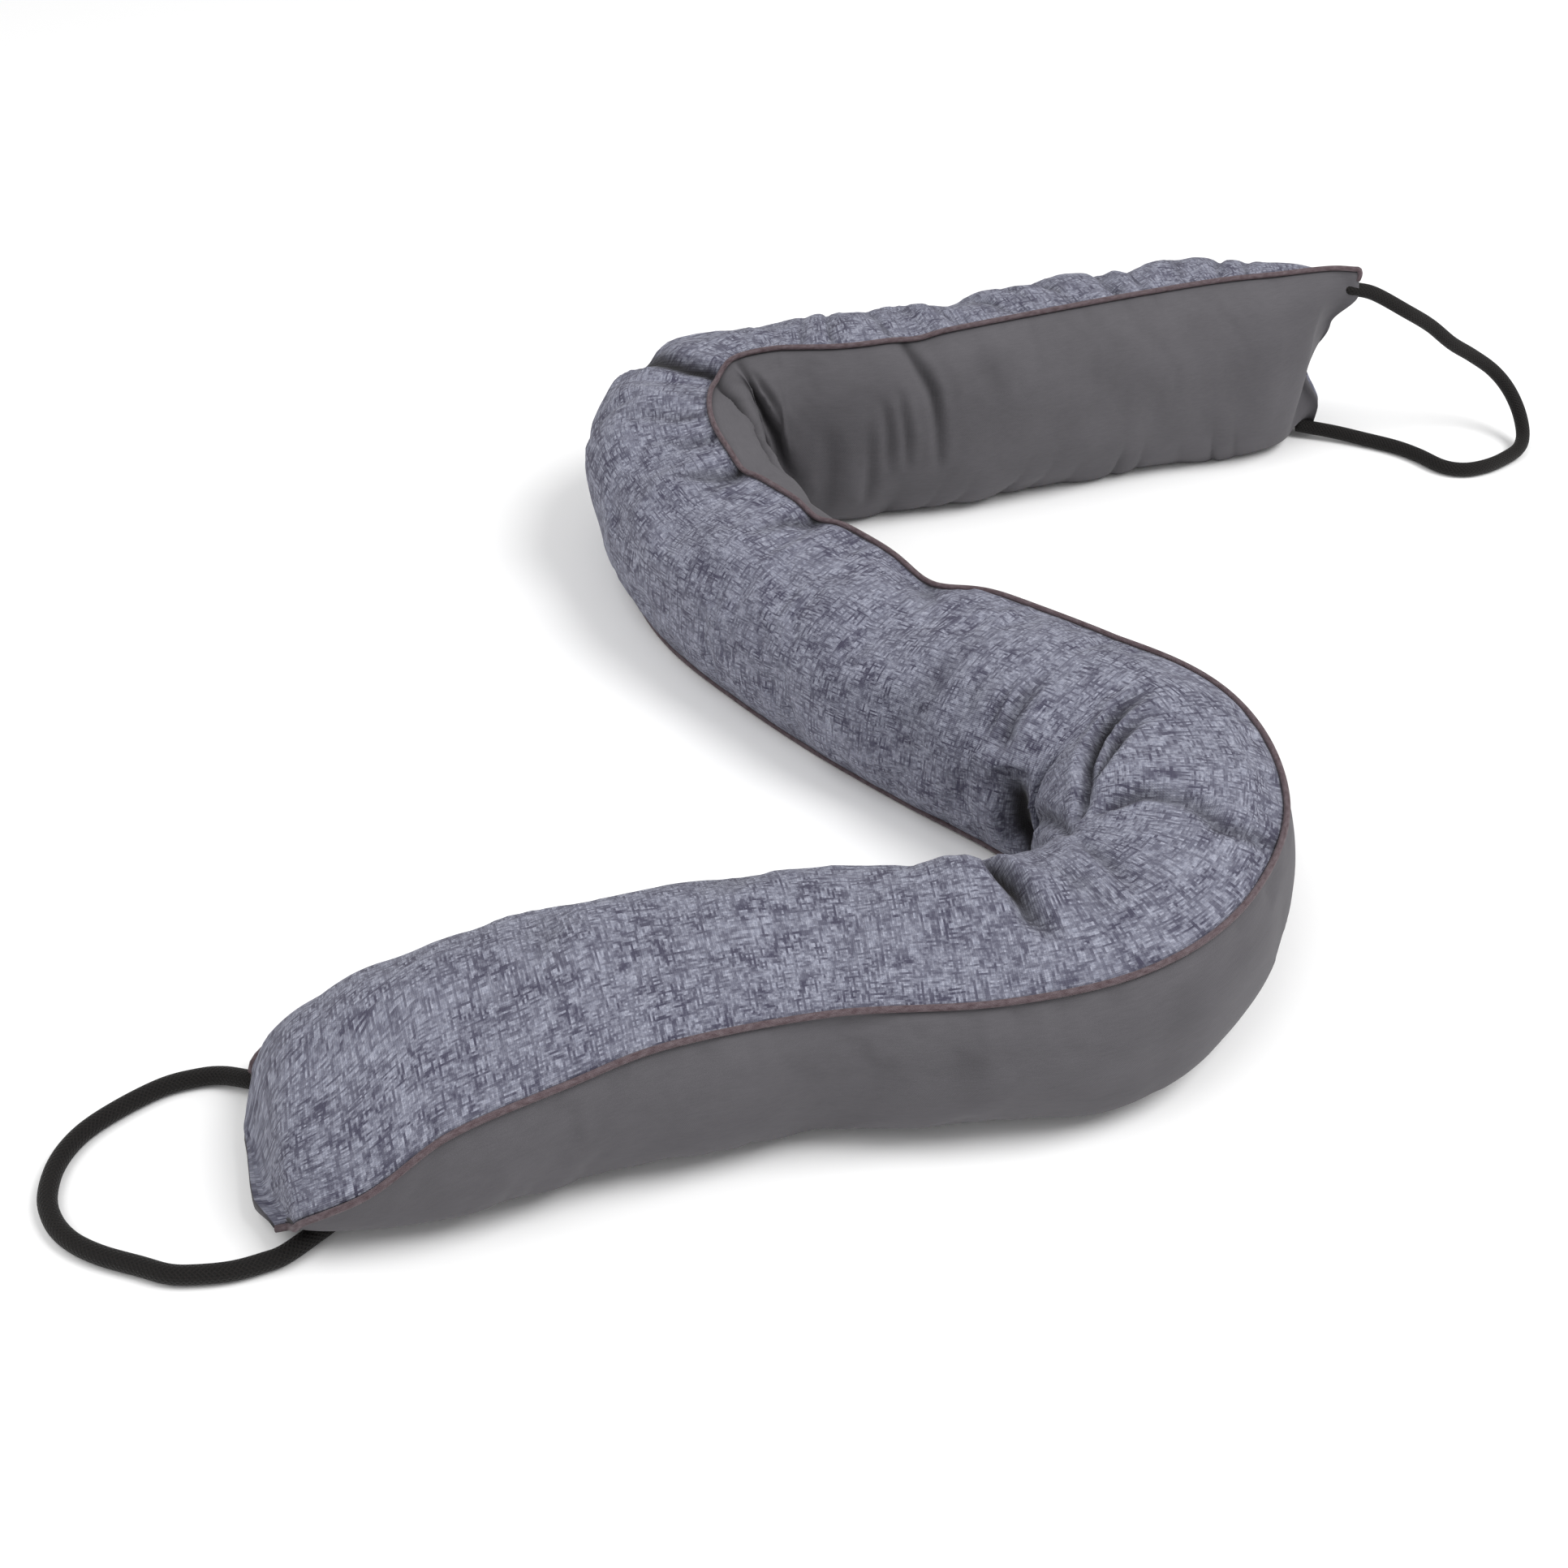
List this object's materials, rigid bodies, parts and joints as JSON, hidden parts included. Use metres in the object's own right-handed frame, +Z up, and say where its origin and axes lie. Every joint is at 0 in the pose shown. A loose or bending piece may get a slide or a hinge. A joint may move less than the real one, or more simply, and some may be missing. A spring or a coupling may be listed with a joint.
{
  "type": "draught excluder",
  "caption": "Long stuffed fabric draught excluder lying bent into a Z, with piped seams and an elastic loop at each end.",
  "frame": {"origin": "on the floor, at the middle of the filled body's footprint, without the loops", "axes": "+Z up from the floor, +Y from the near leg to the far leg, +X towards the far leg's end"},
  "size_m": [0.557, 0.4975, 0.0889],
  "materials": {
    "patterned_cloth": "matt blue-grey melange weave with dark slubs",
    "plain_cloth": "matt plain dark grey weave",
    "piping_cloth": "matt mauve-brown bias cloth",
    "elastic_cord": "matt black braid"
  },
  "bodies": {
    "root": {"patterned_panel": "patterned_cloth", "plain_panel": "plain_cloth", "piping_upper": "piping_cloth", "piping_lower": "piping_cloth", "loop_near": "elastic_cord", "loop_far": "elastic_cord"}
  },
  "joints": []
}
